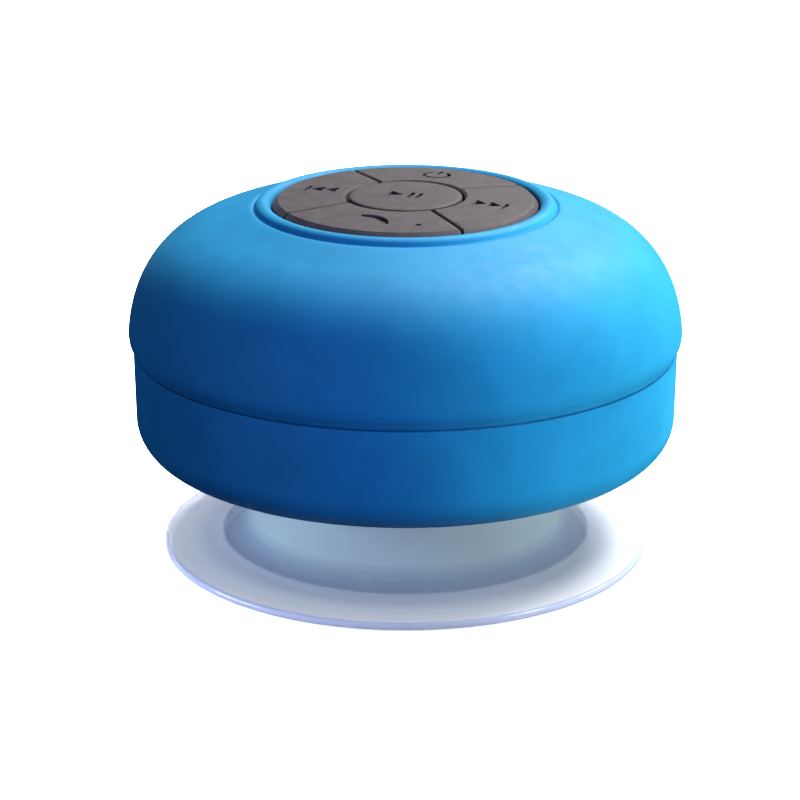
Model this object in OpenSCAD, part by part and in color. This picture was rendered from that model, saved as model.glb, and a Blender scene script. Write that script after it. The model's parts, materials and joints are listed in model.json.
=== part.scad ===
// Shower speaker: a round, sealed speaker on a clear suction cup.
// Millimetres, +Z up. The origin is the centre of the cup's rim plane, which rests on a surface.
// The keys face +Z. The call key is towards -Y, the charging port is on the +Y side.

/* [Housing] */
// Diameter at the widest place of the dome cover
body_d = 86; // [85.6:0.1:87]
// Height of the gap between the dome cover and the band
seam_z = 32.5; // [32.3:0.1:32.7]
// Height of the underside above the rim plane
underside_z = 16; // [15.9:0.1:16.2]
// Thickness of the dome cover's silicone
cover_t = 1.4; // [1.3:0.1:1.5]
// Wall of the two hard shells
shell_t = 1.8; // [1.6:0.1:1.9]

/* [Keypad] */
// Diameter of the keypad
keypad_d = 40.8; // [40.4:0.1:41]
// Diameter of the round centre key
centre_key_d = 17.4; // [16.8:0.1:18]
// Width of the grooves between the keys
key_gap = 0.5; // [0.4:0.1:0.7]
// How far a key travels
key_travel = 0.4; // [0.3:0.05:0.45]
// Distance of the four outer switches from the centre
switch_r = 13.9; // [13.5:0.1:14.2]
// Depth of the engraved icons
icon_depth = 0.4; // [0.2:0.1:0.6]

/* [Suction cup] */
// Diameter of the rim
cup_d = 76.4; // [72:0.2:78]
// Diameter at which the flat rim turns up into the dish
cup_dish_d = 58.4; // [56:0.2:60]
// Height of the hollow inside the dish
cup_hollow_h = 8; // [7:0.1:8.2]
// Thickness of the dish at its middle
cup_t = 2.4; // [2:0.1:2.6]
// Thickness of the rim at its edge
cup_rim_t = 1.1; // [0.9:0.1:1.3]
// Radius of the neck that turns in the hub
neck_r = 4.95; // [4.9:0.01:4.97]

/* [Driver] */
// Diameter of the driver's round frame
driver_d = 41; // [40.6:0.1:41]
// How far the cone travels each way
cone_travel = 1; // [0.5:0.1:1]

/* [Electronics] */
// Diameter of the main board
board_d = 54; // [53:0.1:54]
// Battery width along X
battery_w = 30; // [26:0.5:30]
// Battery length along Y
battery_l = 38; // [34:0.5:38]
// Battery thickness
battery_t = 4; // [3.5:0.1:4.5]

/* [Hidden] */
$fn = 96;

blue = "#1187cf";
key_grey = "#77716f";
dark = "#2b2c30";
hard_white = "#d9dadc";
board_green = "#1d6b43";
steel = "#b9bcc0";
eps = 0.01;

// Dome outline: a superellipse (r / dome_r) ^ dome_n + ((z - dome_z) / dome_h) ^ dome_m = 1.
dome_r = body_d / 2;
dome_z = 33.3;
dome_h = 20.9;
dome_n = 4.9;
dome_m = 2.05;
dome_steps = 26;
// The skirt at the foot of the dome: a chamfer up from the seam and a small round over it.
// Each is how far a point stands in from dome_r, and how far above the seam.
skirt_foot = [0.86, 0.15];
skirt_edge = [[0.26, 1.45], [0.17, 1.68], [0.12, 1.95], [0.07, 2.5]];
skirt_z = 35.5;
// Round lip that stands up around the keypad
lip_half = 1.2;
lip_rise = 1;
lip_z = 54.3;
// The dome runs up straight from here to a narrow groove at the foot of the lip.
shoulder_r = 29.3;

// Band
band_top_r = 42.25;
band_low_r = 42.1;
band_fillet = 5.7;
band_t = 1.35;
band_top_z = seam_z - 0.15;
band_in_r = band_low_r - band_t;
plate_r = 33;

// Seams between the shells, above the floor of the lower one
floor_z = underside_z + 1.3;
floor_top_z = floor_z + shell_t;
seal_z = [31.8, 33];
tongue_r = [37.3, 38.9];
tongue_z = 29.5;

// Key deck, from the shell up to the keys
deck_z = [50.9, 52.5];
web_t = 0.6;
keypad_r = keypad_d / 2 - 0.03;
well_r = keypad_d / 2 + 0.3;
key_base_z = deck_z[1] + web_t + key_travel + 0.3;
key_edge_z = 54.85;
key_edge_r = 0.6;
key_crown = 0.65;
post_r = 1.6;
post_hole_r = post_r + 0.4;
stem_top_z = 50.2;
stem_r = 1.5;
stem_l = 1.8;
outer_keys = ["next", "power", "previous", "call"];
mic_at = [7.2, -14.3];

// Boards and battery
board_z = [45.4, 47];
switch_size = [6, 6, 2.5];
board_screw_r = 24.5;
board_screw_turn = 22.5;
board_boss_r = 2.4;
charge_board_z = [24, 25];
charge_board_y = 33.8;
charge_posts = [[-6, 33, 0], [6, 33, 0]];
tape_t = 0.6;

// Port on the +Y side
flap_w = 12;
flap_z = [22.2, 30.5];
flap_gap = 0.3;
plug_r = [39.4, 41.1];
// The flap turns on a round bead along its lower edge.
bead_at = [42, 21.9];
bead_r = 0.45;
bead_l = 8;
bead_gap = 0.05;
port_w = 10;
port_z = [23.1, 29.6];

// Screws: shank radius, head radius, head height
case_screw_at = 30;
case_screw = [1.3, 2.4, 1.6];
case_boss_r = 2.8;
case_post_r = 3.4;
case_split_z = 31;
small_screw = [1, 1.8, 0.8];
screw_play = 0.15;
plate_screw_at = 26;
ear_at = 22.3;
ear_r = 2.6;

// Driver, facing down
flange_z = [19.7, 20.5];
basket_top_z = [28.2, 29];
top_plate_z = 31;
magnet_z = 36.5;
yoke_z = 38.5;
pole_r = 5.8;
coil_r = [6.05, 6.35];
cone_mouth = [15.6, 21.3];
cone_neck = [6.35, 26];
roll_r = 1.35;
basket_r = cone_mouth[0] + 2 * roll_r;
basket_t = 0.7;
// The coil stays in the gap at both ends of the cone's travel.
coil_z = [cone_neck[1] - 0.6, top_plate_z + 1.5 + cone_travel];

// Cup and hub
cup_r = cup_d / 2;
cup_dish_r = cup_dish_d / 2;
cup_flange_t = 1.7;
head_r = 7;
head_z = [14.2, 17];
hub_r = 11.5;
hub_z = [12.5, 18.6];
hub_bore_r = 5;
hub_floor_z = 14;
hub_hollow_r = 7.5;
hub_cap_r = 8.5;
hub_cap_z = 17.4;
slots = 18;
slot_size = [4.4, 1.5, 4];
slot_at = 13;
speaker_hole_r = 18.1;

// Wire routes, from the part's own corners and terminals
wire_r = 0.5;
speaker_route = [[-22, 0, 21.9], [-23.5, 0, 24], [-27, 0, 28], [-28.5, 0, 34], [-27.5, 0, 40],
                 [-25, 0, 43.5], [-24.5, 0, 45.4]];
charge_route = [[0, 30.8, 25], [0, 31, 28], [0, 32.5, 33], [0, 31.5, 38], [0, 27.5, 42],
                [0, 25.2, 44], [0, 25, 45.4]];
battery_route = [[-2, -19, 42.8], [-2, -21, 42.8], [1, -23, 42.8], [8, -24, 42.8],
                 [15, -22, 42.8], [19, -16, 42.8], [20, -10, 42.8], [20, -7, 42.8]];

// ---------------------------------------------------------------- helpers

function arc(centre, radius, from, to, steps) =
    [for (i = [0 : steps]) let (a = from + (to - from) * i / steps)
        centre + radius * [cos(a), sin(a)]];

// Point of the dome outline, moved inwards by inset; t runs from 0 at the foot to 90 at the top.
function dome_point(t, inset) =
    [(dome_r - inset) * pow(cos(t), 2 / dome_n), dome_z + (dome_h - inset) * pow(sin(t), 2 / dome_m)];

// Angle at which the outline reaches a height or a radius.
function dome_t_at_z(z, inset) = asin(pow((z - dome_z) / (dome_h - inset), dome_m / 2));
function dome_t_at_r(r, inset) = acos(pow(r / (dome_r - inset), dome_n / 2));

function dome_curve(inset, z_from, r_to) =
    let (t0 = dome_t_at_z(z_from, inset), t1 = dome_t_at_r(r_to, inset))
    [for (i = [0 : dome_steps]) dome_point(t0 + (t1 - t0) * i / dome_steps, inset)];

function reversed(list) = [for (i = [len(list) - 1 : -1 : 0]) list[i]];

// Catmull-Rom curve through the points of a route, moved sideways by shift.
function curve_point(a, b, c, d, t) =
    0.5 * (2 * b + (c - a) * t + (2 * a - 5 * b + 4 * c - d) * t * t
    + (3 * b - a - 3 * c + d) * t * t * t);
function route_curve(points, steps) =
    let (n = len(points))
    [for (i = [0 : n - 2]) for (k = [0 : steps - 1])
        curve_point(points[max(i - 1, 0)], points[i], points[i + 1], points[min(i + 2, n - 1)],
                    k / steps),
     points[n - 1]];

module tube_along(points, radius, side) {
    sides = 8;
    n = len(points);
    tangents = [for (i = [0 : n - 1])
        let (d = points[min(i + 1, n - 1)] - points[max(i - 1, 0)]) d / norm(d)];
    rings = [for (i = [0 : n - 1]) for (j = [0 : sides - 1])
        let (a = 360 * j / sides, v = cross(tangents[i], side))
            points[i] + radius * (cos(a) * side + sin(a) * v)];
    walls = [for (i = [0 : n - 2]) for (j = [0 : sides - 1])
        let (k = (j + 1) % sides)
            [i * sides + j, (i + 1) * sides + j, (i + 1) * sides + k, i * sides + k]];
    ends = [[for (j = [0 : sides - 1]) j],
            [for (j = [sides - 1 : -1 : 0]) (n - 1) * sides + j]];
    polyhedron(points = rings, faces = concat(walls, ends), convexity = 6);
}

module wire_pair(route, side) {
    for (s = [-1, 1])
        translate(s * 0.8 * side)
            tube_along(route_curve(route, 2), wire_r, side);
}

module ring(r_out, r_in, z0, z1) {
    translate([0, 0, z0])
        linear_extrude(z1 - z0)
            difference() {
                circle(r_out);
                circle(r_in);
            }
}

module rod(r, z0, z1) {
    translate([0, 0, z0])
        cylinder(h = z1 - z0, r = r);
}

module block(size, at) {
    translate([at[0] - size[0] / 2, at[1] - size[1] / 2, at[2]])
        cube(size);
}

module around(count, turn, r) {
    for (i = [0 : count - 1])
        rotate(turn + 360 * i / count)
            translate([r, 0, 0])
                children();
}

// Screw along Z: the head's underside is at z0 and the tip at z1, above or below it.
module screw(kind, z0, z1) {
    up = z1 > z0 ? 1 : -1;
    head_end = z0 - up * kind[2];
    difference() {
        union() {
            rod(kind[0], min(z0, z1), max(z0, z1));
            rod(kind[1], min(z0, head_end), max(z0, head_end));
        }
        // Cross recess
        for (a = [0, 90])
            rotate(a)
                block([kind[1] * 1.2, kind[0] * 0.45, kind[2]], [0, 0, head_end - kind[2] / 2]);
    }
}

// Solid of revolution inside the dome outline, used to trim what stands on the shell.
module dome_solid(inset) {
    rotate_extrude()
        polygon(concat([[0, seam_z], [dome_r - inset, seam_z]],
                       dome_curve(inset, dome_z + 0.3, 4), [[0, dome_z + dome_h - inset]]));
}

// ---------------------------------------------------------------- housing skins and shells

module dome_cover() {
    lip_r = well_r + lip_half;
    skirt = [for (p = concat([skirt_foot], skirt_edge)) [dome_r - p[0], seam_z + p[1]]];
    groove = [for (p = [[0.65, 0], [0.3, -0.08], [0.1, 0.02]]) [lip_r + lip_half + p[0], lip_z + p[1]]];
    lip = [for (p = arc([0, 0], 1, 20, 180, 12)) [lip_r + lip_half * p[0], lip_z + lip_rise * p[1]]];
    outside = concat(skirt, dome_curve(0, skirt_z, shoulder_r), groove, lip);
    inside = concat([[well_r, deck_z[1]]], reversed(dome_curve(cover_t, seal_z[1] + 0.8, well_r + 0.2)),
                    [[dome_r - cover_t, seal_z[1]], [dome_r - cover_t, seam_z + 0.15]]);
    color(blue)
        rotate_extrude()
            polygon(concat(outside, inside));
}

function band_outline(r_low, fillet, z) =
    arc([r_low - fillet, z + fillet], fillet, -90, 0, 10);

module band_solid() {
    polygon(concat([[plate_r + 0.1, underside_z]],
                   band_outline(band_low_r, band_fillet, underside_z),
                   [[band_top_r, band_top_z], [band_in_r, band_top_z]],
                   reversed(band_outline(band_in_r, band_fillet - band_t, floor_z)),
                   [[plate_r + 0.1, floor_z]]));
}

module band() {
    color(blue)
        difference() {
            rotate_extrude()
                band_solid();
            // Opening that the port flap fills, and the groove of its hinge bead
            translate([-flap_w / 2 - flap_gap, 30, flap_z[0] - 0.2])
                cube([flap_w + 2 * flap_gap, 20, flap_z[1] - flap_z[0] + 0.2 + flap_gap]);
            hinge_bead(bead_r + bead_gap, bead_l + 0.4);
        }
}

module hinge_bead(r, l) {
    translate([-l / 2, bead_at[0], bead_at[1]])
        rotate([0, 90, 0])
            cylinder(h = l, r = r);
}

module upper_shell() {
    inset = cover_t + shell_t;
    outside = concat([[dome_r - cover_t, seal_z[1]]],
                     dome_curve(cover_t, seal_z[1] + 0.8, well_r + 0.2),
                     [[well_r, deck_z[1]], [0, deck_z[1]]]);
    inside = concat([[0, deck_z[0]], [18.5, deck_z[0]]],
                    reversed(dome_curve(inset, seal_z[1] + 3, 19)),
                    [[tongue_r[0], seal_z[1] + 2], [tongue_r[0], tongue_z],
                     [tongue_r[1], tongue_z], [tongue_r[1], seal_z[1]]]);
    color(hard_white)
        difference() {
            union() {
                rotate_extrude()
                    polygon(concat(outside, inside));
                intersection() {
                    dome_solid(cover_t + eps);
                    union() {
                        // Bosses that take the case screws, each tied to the wall by a rib
                        around(4, 45, case_screw_at) {
                            rod(case_boss_r, case_split_z, 50);
                            translate([0, -0.8, 34])
                                cube([10, 1.6, 12]);
                        }
                        // Bosses that the main board hangs on
                        around(4, board_screw_turn, board_screw_r)
                            rod(board_boss_r, board_z[1], 51.5);
                    }
                }
            }
            around(4, 45, case_screw_at)
                rod(case_screw[0], case_split_z - 1, 40);
            around(4, board_screw_turn, board_screw_r)
                rod(small_screw[0], board_z[1] - 1, board_z[1] + 2.5);
            // Holes for the key posts, and the mic's sound hole
            rod(post_hole_r, deck_z[0] - 1, deck_z[1] + 1);
            around(4, 0, switch_r)
                rod(post_hole_r, deck_z[0] - 1, deck_z[1] + 1);
            translate(mic_at)
                rod(0.6, deck_z[0] - 1, deck_z[1] + 1);
        }
}

module lower_shell() {
    wall_r = band_in_r - shell_t;
    fillet = band_fillet - band_t;
    color(hard_white)
        difference() {
            union() {
                rotate_extrude()
                    polygon(concat([[speaker_hole_r, floor_z]], band_outline(band_in_r, fillet, floor_z),
                                   [[band_in_r, seal_z[0]], [wall_r, seal_z[0]]],
                                   reversed(band_outline(wall_r, fillet - shell_t, floor_top_z)),
                                   [[speaker_hole_r, floor_top_z]]));
                // Posts for the case screws
                around(4, 45, case_screw_at)
                    rod(case_post_r, floor_top_z - eps, case_split_z);
                // Pads under the driver's ears
                around(4, 45, ear_at)
                    rod(ear_r, floor_top_z - eps, flange_z[0]);
                // Bosses for the rear plate's screws
                around(4, 0, plate_screw_at)
                    rod(2, floor_top_z - eps, 22.5);
                // Posts for the charge board
                for (at = charge_posts)
                    translate(at)
                        rod(2, floor_top_z - eps, charge_board_z[0]);
            }
            around(4, 45, case_screw_at) {
                rod(case_screw[1] + 0.2, floor_z - 1, 24);
                rod(case_screw[0] + screw_play, 23, case_split_z + 1);
            }
            around(4, 45, ear_at)
                rod(small_screw[0], floor_z + 0.2, flange_z[1] + 0.5);
            around(4, 0, plate_screw_at)
                rod(small_screw[0], floor_z - 1, 21.5);
            for (at = charge_posts)
                translate(at)
                    rod(small_screw[0], 20.5, charge_board_z[0] + 1);
            // Charging port
            translate([-port_w / 2, 36, port_z[0]])
                cube([port_w, 10, port_z[1] - port_z[0]]);
        }
}

module seal_ring() {
    color(dark)
        ring(band_in_r - 0.1, tongue_r[1] + 0.2, seal_z[0], seal_z[1]);
}

// ---------------------------------------------------------------- underside

module rear_plate() {
    color(dark)
        difference() {
            union() {
                rod(plate_r, underside_z, floor_z);
                rod(hub_r, hub_z[0], hub_z[1]);
            }
            rod(hub_bore_r, hub_z[0] - 1, hub_floor_z + 1);
            rod(hub_hollow_r, hub_floor_z, hub_cap_z);
            rod(hub_cap_r, hub_cap_z, hub_z[1] + 1);
            // Sound slots between the hub and the driver's opening
            around(slots, 0, slot_at)
                translate([0, -slot_size[1] / 2, underside_z - 1])
                    cube(slot_size);
            around(4, 0, plate_screw_at) {
                rod(small_screw[0] + screw_play, underside_z - 1, floor_z + 1);
                rod(small_screw[1] + screw_play, underside_z - 1, underside_z + small_screw[2]);
            }
        }
}

module hub_cap() {
    color(dark)
        rod(hub_cap_r, hub_cap_z, hub_z[1]);
}

module acoustic_mesh() {
    color("#3a3b3e")
        ring(speaker_hole_r - 0.1, hub_r + 0.1, floor_z, floor_z + 0.2);
}

// Flat rim, then a dish between two spherical caps, then the neck and the head.
function cap_radius(r, h) = (r * r + h * h) / (2 * h);

module suction_cup() {
    in_r = cup_dish_r - 0.8;
    in_ball = cap_radius(in_r, cup_hollow_h);
    out_ball = cap_radius(cup_dish_r, cup_hollow_h + cup_t - cup_flange_t);
    hollow = arc([0, cup_hollow_h - in_ball], in_ball, 90, 90 - asin(in_r / in_ball), 14);
    top = arc([0, cup_hollow_h + cup_t - out_ball], out_ball,
              90 - asin(cup_dish_r / out_ball), 90 - asin(neck_r / out_ball), 16);
    rim = [[cup_r - 0.2, 0], [cup_r, 0.2], [cup_r, cup_rim_t - 0.2], [cup_r - 0.2, cup_rim_t]];
    head = [[neck_r, head_z[0]], [head_r, head_z[0]], [head_r, head_z[1] - 1],
            [head_r - 1, head_z[1]], [0, head_z[1]]];
    color("#c9d6ee", 0.5)
        rotate_extrude()
            polygon(concat(hollow, rim, top, head));
}

// ---------------------------------------------------------------- keypad

module keypad_web() {
    color(key_grey)
        difference() {
            rod(well_r - 0.1, deck_z[1], deck_z[1] + web_t);
            rod(post_hole_r - 0.1, deck_z[1] - 1, deck_z[1] + 2);
            around(4, 0, switch_r)
                rod(post_hole_r - 0.1, deck_z[1] - 1, deck_z[1] + 2);
            translate(mic_at)
                rod(0.6, deck_z[1] - 1, deck_z[1] + 2);
        }
}

// The five keys are cut from one low dome with a rounded edge.
function crown_z(r) = key_edge_z + key_edge_r + key_crown * (1 - pow(r / (keypad_r - key_edge_r), 2));

module keypad_dome() {
    top_r = keypad_r - key_edge_r;
    rotate_extrude()
        polygon(concat([[0, key_base_z], [keypad_r, key_base_z]],
                       arc([top_r, key_edge_z], key_edge_r, 0, 86, 5),
                       [for (i = [10 : -1 : 0]) [top_r * i / 10, crown_z(top_r * i / 10)]]));
}

module outer_key(turn) {
    difference() {
        union() {
            intersection() {
                keypad_dome();
                rotate(turn - 45)
                    translate([key_gap / 2, key_gap / 2, key_base_z - 1])
                        linear_extrude(5)
                            square(30);
            }
            rotate(turn)
                translate([switch_r, 0, 0])
                    rod(post_r, stem_top_z, key_base_z + eps);
        }
        rod(centre_key_d / 2 + key_gap, key_base_z - 1, 60);
    }
}

module engrave(at) {
    translate([at[0], at[1], crown_z(norm(at)) - icon_depth])
        linear_extrude(3)
            children();
}

module triangle(w, h) {
    polygon([[0, -h / 2], [w, 0], [0, h / 2]]);
}

module skip_icon() {
    for (x = [-2.7, -0.4])
        translate([x, 0])
            triangle(2.1, 2.8);
    translate([1.9, -1.4])
        square([0.6, 2.8]);
}

module play_icon() {
    translate([-2.7, 0])
        triangle(2.6, 3);
    for (x = [0.6, 1.9])
        translate([x, -1.5])
            square([0.7, 3]);
}

module power_icon() {
    difference() {
        circle(1.8);
        circle(1.3);
        translate([-0.8, 0.4])
            square([1.6, 2]);
    }
    translate([-0.25, 0.2])
        square([0.5, 2.2]);
}

// Handset: a thick bow with an ear piece and a mouth piece.
module call_icon() {
    rotate(-35)
        translate([0, -2.6]) {
            difference() {
                intersection() {
                    circle(3.6);
                    translate([-2.9, 1])
                        square([5.8, 3]);
                }
                circle(2.8);
            }
            for (s = [-1, 1])
                rotate(s * 50)
                    translate([-0.55, 2.1])
                        square([1.1, 1.5]);
        }
}

module key_play() {
    color(key_grey)
        difference() {
            union() {
                intersection() {
                    keypad_dome();
                    rod(centre_key_d / 2, key_base_z, 60);
                }
                rod(post_r, stem_top_z, key_base_z + eps);
            }
            engrave([0, 0])
                play_icon();
        }
}

module key_next() {
    color(key_grey)
        difference() {
            outer_key(0);
            engrave([switch_r, 0])
                skip_icon();
        }
}

module key_power() {
    color(key_grey)
        difference() {
            outer_key(90);
            engrave([0, switch_r + 0.5])
                power_icon();
        }
}

module key_previous() {
    color(key_grey)
        difference() {
            outer_key(180);
            engrave([-switch_r, 0])
                mirror([1, 0])
                    skip_icon();
        }
}

module key_call() {
    color(key_grey)
        difference() {
            outer_key(270);
            engrave([0.5, -switch_r + 0.3])
                call_icon();
            translate(mic_at)
                rod(0.5, key_base_z - 1, 60);
        }
}

module stem(at) {
    color("#e9e6dc")
        translate(at)
            rod(stem_r, stem_top_z - stem_l, stem_top_z);
}

module stem_play() { stem([0, 0]); }
module stem_next() { stem([switch_r, 0]); }
module stem_power() { stem([0, switch_r]); }
module stem_previous() { stem([-switch_r, 0]); }
module stem_call() { stem([0, -switch_r]); }

module switch_body() {
    difference() {
        block(switch_size, [0, 0, board_z[1]]);
        rod(stem_r + 0.05, board_z[1] + 0.8, board_z[1] + 4);
    }
}

module switch_bodies() {
    color(dark) {
        switch_body();
        around(4, 0, switch_r)
            switch_body();
    }
}

// ---------------------------------------------------------------- electronics

module main_board() {
    color(board_green)
        difference() {
            rod(board_d / 2, board_z[0], board_z[1]);
            around(4, board_screw_turn, board_screw_r)
                rod(small_screw[0] + 0.1, board_z[0] - 1, board_z[1] + 1);
        }
}

module bluetooth_module() {
    color(steel)
        block([12, 11, 2.2], [13.5, 13, board_z[1]]);
}

module amplifier_chip() {
    color(dark)
        block([5, 4, 1.5], [-13, 12.5, board_z[1]]);
}

module power_inductor() {
    color("#4a4a4c")
        block([4, 4, 2], [-13, -12.5, board_z[1]]);
}

module status_led() {
    color("#f4f4e8")
        block([2, 1.2, 0.8], [-7, -15, board_z[1]]);
}

module mic_capsule() {
    color(steel)
        translate(mic_at)
            rod(2, board_z[1], board_z[1] + 1.5);
}

module mic_boot() {
    color(dark)
        translate(mic_at)
            difference() {
                rod(2.4, board_z[1], deck_z[0]);
                rod(2, board_z[1] - 1, board_z[1] + 1.5);
                rod(0.6, board_z[1], deck_z[0] + 1);
            }
}

module charge_board() {
    color(board_green)
        difference() {
            block([16, 8.2, charge_board_z[1] - charge_board_z[0]], [0, charge_board_y, charge_board_z[0]]);
            for (at = charge_posts)
                translate(at)
                    rod(small_screw[0] + 0.1, charge_board_z[0] - 1, charge_board_z[1] + 1);
        }
}

module charge_chip() {
    color(dark)
        block([2.6, 1.6, 1], [-2.6, 31.4, charge_board_z[1]]);
}

module usb_socket() {
    color(steel)
        difference() {
            block([7.4, 5.6, 2.7], [0, 35.8, charge_board_z[1]]);
            block([6.9, 5, 1.9], [0, 36.6, charge_board_z[1] + 0.4]);
        }
}

// The flap's face follows the band, its plug fills the port, and its lower edge is a round bead.
module port_flap() {
    color(blue) {
        intersection() {
            rotate_extrude()
                polygon([[band_in_r + 0.1, 20], [band_low_r, band_fillet + underside_z],
                         [band_top_r, band_top_z], [band_in_r + 0.1, band_top_z]]);
            translate([-flap_w / 2, 30, flap_z[0]])
                cube([flap_w, 20, flap_z[1] - flap_z[0]]);
        }
        translate([-port_w / 2 + flap_gap, plug_r[0], port_z[0] + flap_gap])
            cube([port_w - 2 * flap_gap, plug_r[1] - plug_r[0], port_z[1] - port_z[0] - 1]);
        hinge_bead(bead_r, bead_l);
        // Web from the bead up to the flap
        translate([-bead_l / 2, bead_at[0] - 0.4, bead_at[1]])
            cube([bead_l, 0.35, 0.4]);
    }
}

module battery_cell() {
    z1 = board_z[0] - tape_t;
    color("#c3c6cb")
        block([battery_w, battery_l, battery_t], [0, 0, z1 - battery_t]);
}

module battery_tape() {
    color("#44464a")
        block([battery_w - 6, battery_l - 6, tape_t], [0, 0, board_z[0] - tape_t]);
}

module battery_plug() {
    color("#ece7d8")
        block([5, 4, 3.6], [20, -5, board_z[0] - 3.6]);
}

module battery_wires() {
    color("#b3261e")
        wire_pair(battery_route, [0, 0, 1]);
}

module charge_wires() {
    color("#b3261e")
        wire_pair(charge_route, [1, 0, 0]);
}

module speaker_wires() {
    color("#1c1c1e")
        wire_pair(speaker_route, [0, 1, 0]);
}

// ---------------------------------------------------------------- driver

module driver_gasket() {
    color(dark)
        ring(ear_at - ear_r - 0.1, basket_r, floor_top_z, flange_z[0]);
}

module driver_basket() {
    color(steel)
        difference() {
            union() {
                ring(driver_d / 2, basket_r, flange_z[0], flange_z[1]);
                around(4, 45, ear_at)
                    rod(ear_r, flange_z[0], flange_z[1]);
                rotate_extrude()
                    polygon([[basket_r, flange_z[0]], [basket_r + basket_t, flange_z[0]],
                             [basket_r + basket_t, 23], [14.8, basket_top_z[1]],
                             [pole_r + 1.2, basket_top_z[1]], [pole_r + 1.2, basket_top_z[0]],
                             [14.1, basket_top_z[0]], [basket_r, 22.7]]);
            }
            around(4, 45, ear_at)
                rod(small_screw[0] + 0.1, flange_z[0] - 1, flange_z[1] + 1);
            // Windows in the cone of the basket
            around(4, 0, 0)
                translate([12.5, -4, 22.5])
                    cube([8, 8, 4.2]);
        }
}

module driver_top_plate() {
    color(steel)
        ring(14, pole_r + 0.8, basket_top_z[1], top_plate_z);
}

module driver_magnet() {
    color(dark)
        ring(15, 8, top_plate_z, magnet_z);
}

module driver_yoke() {
    color(steel) {
        rod(14, magnet_z, yoke_z);
        rod(pole_r, basket_top_z[1], magnet_z + eps);
    }
}

module voice_coil() {
    color("#b87333")
        ring(coil_r[1], coil_r[0], coil_z[0], coil_z[1]);
}

module driver_cone() {
    color("#3b3b3d")
        rotate_extrude()
            polygon([cone_neck, [cone_neck[0], coil_z[0]],
                     [cone_mouth[0] - 0.3, cone_mouth[1] - 0.4], cone_mouth]);
}

module dust_cap() {
    ball = 9;
    color("#2f2f31")
        rotate_extrude()
            polygon(concat(arc([0, cone_neck[1] - 2.6 + ball], ball, -90, -48, 8),
                           reversed(arc([0, cone_neck[1] - 2.6 + ball], ball - 0.35, -90, -47, 8))));
}

// Half roll between the cone's edge and the basket
module driver_surround() {
    mid = [cone_mouth[0] + roll_r, cone_mouth[1] - 0.3];
    color(dark)
        rotate_extrude()
            polygon(concat(arc(mid, roll_r, 0, 180, 10), reversed(arc(mid, roll_r - 0.35, 0, 180, 10))));
}

// Corrugated disc that centres the coil
module driver_spider() {
    r0 = coil_r[1];
    r1 = 14.1;
    steps = 28;
    wave = [for (i = [0 : steps]) let (f = i / steps)
        [r0 + (r1 - r0) * f, basket_top_z[0] - 0.75 + 0.3 * sin(360 * 3.5 * f)]];
    color("#c08a3e")
        rotate_extrude()
            polygon(concat(wave, [for (p = reversed(wave)) p + [0, 0.3]]));
}

module terminal_board() {
    color("#8a5a2b")
        block([4, 8, 1], [-21.4, 0, flange_z[1]]);
}

// ---------------------------------------------------------------- screws

module case_screws() {
    color(steel)
        around(4, 45, case_screw_at)
            screw(case_screw, 24, case_split_z + 7);
}

module board_screws() {
    color(steel) {
        around(4, board_screw_turn, board_screw_r)
            screw(small_screw, board_z[0], board_z[1] + 2.4);
        for (at = charge_posts)
            translate(at)
                screw(small_screw, charge_board_z[1], charge_board_z[1] - 4);
    }
}

module driver_screws() {
    color(steel)
        around(4, 45, ear_at)
            screw(small_screw, flange_z[1], flange_z[1] - 2.9);
}

module plate_screws() {
    color(steel)
        around(4, 0, plate_screw_at)
            screw(small_screw, underside_z + small_screw[2], underside_z + 5.3);
}

// ---------------------------------------------------------------- drawing

dome_cover();
band();
upper_shell();
lower_shell();
seal_ring();
rear_plate();
hub_cap();
acoustic_mesh();
keypad_web();
key_play();
key_next();
key_power();
key_previous();
key_call();
stem_play();
stem_next();
stem_power();
stem_previous();
stem_call();
switch_bodies();
main_board();
bluetooth_module();
amplifier_chip();
power_inductor();
status_led();
mic_capsule();
mic_boot();
charge_board();
charge_chip();
usb_socket();
port_flap();
battery_cell();
battery_tape();
battery_plug();
battery_wires();
charge_wires();
speaker_wires();
driver_gasket();
driver_basket();
driver_top_plate();
driver_magnet();
driver_yoke();
voice_coil();
driver_cone();
dust_cap();
driver_surround();
driver_spider();
terminal_board();
case_screws();
board_screws();
driver_screws();
plate_screws();
suction_cup();
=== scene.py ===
"""The looks of the shower speaker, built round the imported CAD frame. Metres, in the row's frame."""
import json
import math

import bmesh
import bpy
from mathutils import Matrix, Vector


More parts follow.
